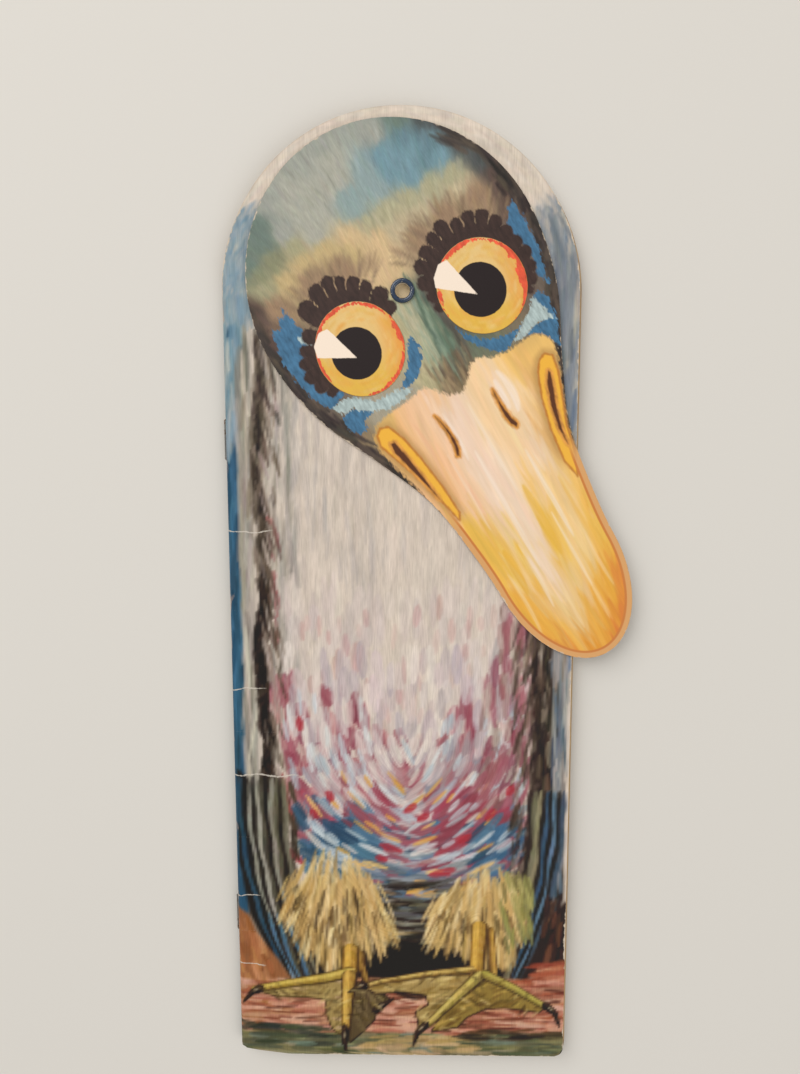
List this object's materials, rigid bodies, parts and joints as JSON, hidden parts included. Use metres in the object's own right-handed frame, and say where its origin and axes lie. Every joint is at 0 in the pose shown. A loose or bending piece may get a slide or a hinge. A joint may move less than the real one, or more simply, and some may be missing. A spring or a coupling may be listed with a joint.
{
  "type": "die-cut picture book",
  "caption": "Arch-topped picture book in the shape of a long-billed bird, its head a separate card that turns on a rolled eyelet.",
  "frame": {"origin": "centre of the back cover's outside face, with the closed book lying on it", "axes": "+X from the spine to the fore edge, +Y from the bird's feet to its crown, +Z out of the front cover"},
  "size_m": [0.122, 0.291, 0.0068],
  "materials": {
    "cover_card": "printed satin card, worn at the edges",
    "paper": "uncoated yellowed paper",
    "head_card": "printed satin card, worn at the edges",
    "enamel": "blue-black enamelled steel",
    "wire": "tinned steel wire"
  },
  "bodies": {
    "back_cover": {"back_cover": "cover_card"},
    "front_cover": {"front_cover": "cover_card", "eyelet": "enamel"},
    "spine": {"spine_fold": "cover_card", "staple_upper": "wire", "staple_lower": "wire", "leaf_3": "paper"},
    "leaf_1": {"leaf_1": "paper"},
    "leaf_2": {"leaf_2": "paper"},
    "leaf_4": {"leaf_4": "paper"},
    "leaf_5": {"leaf_5": "paper"},
    "leaf_6": {"leaf_6": "paper"},
    "head": {"head_card": "head_card"}
  },
  "joints": [
    {"name": "cover_open", "type": "hinge", "parent": "back_cover", "child": "front_cover", "pos_m": [-0.0504, 0, 0.0026], "axis": [0, -1, 0], "range_deg": [0, 172]},
    {"name": "spine_turn", "type": "hinge", "parent": "back_cover", "child": "spine", "pos_m": [-0.0504, 0, 0.0026], "axis": [0, -1, 0], "range_deg": [0, 86]},
    {"name": "leaf_1_turn", "type": "hinge", "parent": "spine", "child": "leaf_1", "pos_m": [-0.0504, 0, 0.0026], "axis": [0, -1, 0], "range_deg": [0, 57.4]},
    {"name": "leaf_2_turn", "type": "hinge", "parent": "spine", "child": "leaf_2", "pos_m": [-0.0504, 0, 0.0026], "axis": [0, -1, 0], "range_deg": [0, 28.7]},
    {"name": "leaf_4_turn", "type": "hinge", "parent": "spine", "child": "leaf_4", "pos_m": [-0.0504, 0, 0.0026], "axis": [0, -1, 0], "range_deg": [-21.6, 0]},
    {"name": "leaf_5_turn", "type": "hinge", "parent": "spine", "child": "leaf_5", "pos_m": [-0.0504, 0, 0.0026], "axis": [0, -1, 0], "range_deg": [-43.1, 0]},
    {"name": "leaf_6_turn", "type": "hinge", "parent": "spine", "child": "leaf_6", "pos_m": [-0.0504, 0, 0.0026], "axis": [0, -1, 0], "range_deg": [-64.6, 0]},
    {"name": "head_turn", "type": "hinge", "parent": "front_cover", "child": "head", "pos_m": [0.0008, 0.0945, 0.00575], "axis": [0, 0, 1], "continuous": true}
  ],
  "couplings": [
    {"joint": "spine_turn", "follows": "cover_open", "ratio": 0.5},
    {"joint": "leaf_1_turn", "follows": "cover_open", "ratio": 0.33333},
    {"joint": "leaf_2_turn", "follows": "cover_open", "ratio": 0.16667},
    {"joint": "leaf_4_turn", "follows": "cover_open", "ratio": -0.125},
    {"joint": "leaf_5_turn", "follows": "cover_open", "ratio": -0.25},
    {"joint": "leaf_6_turn", "follows": "cover_open", "ratio": -0.375}
  ]
}
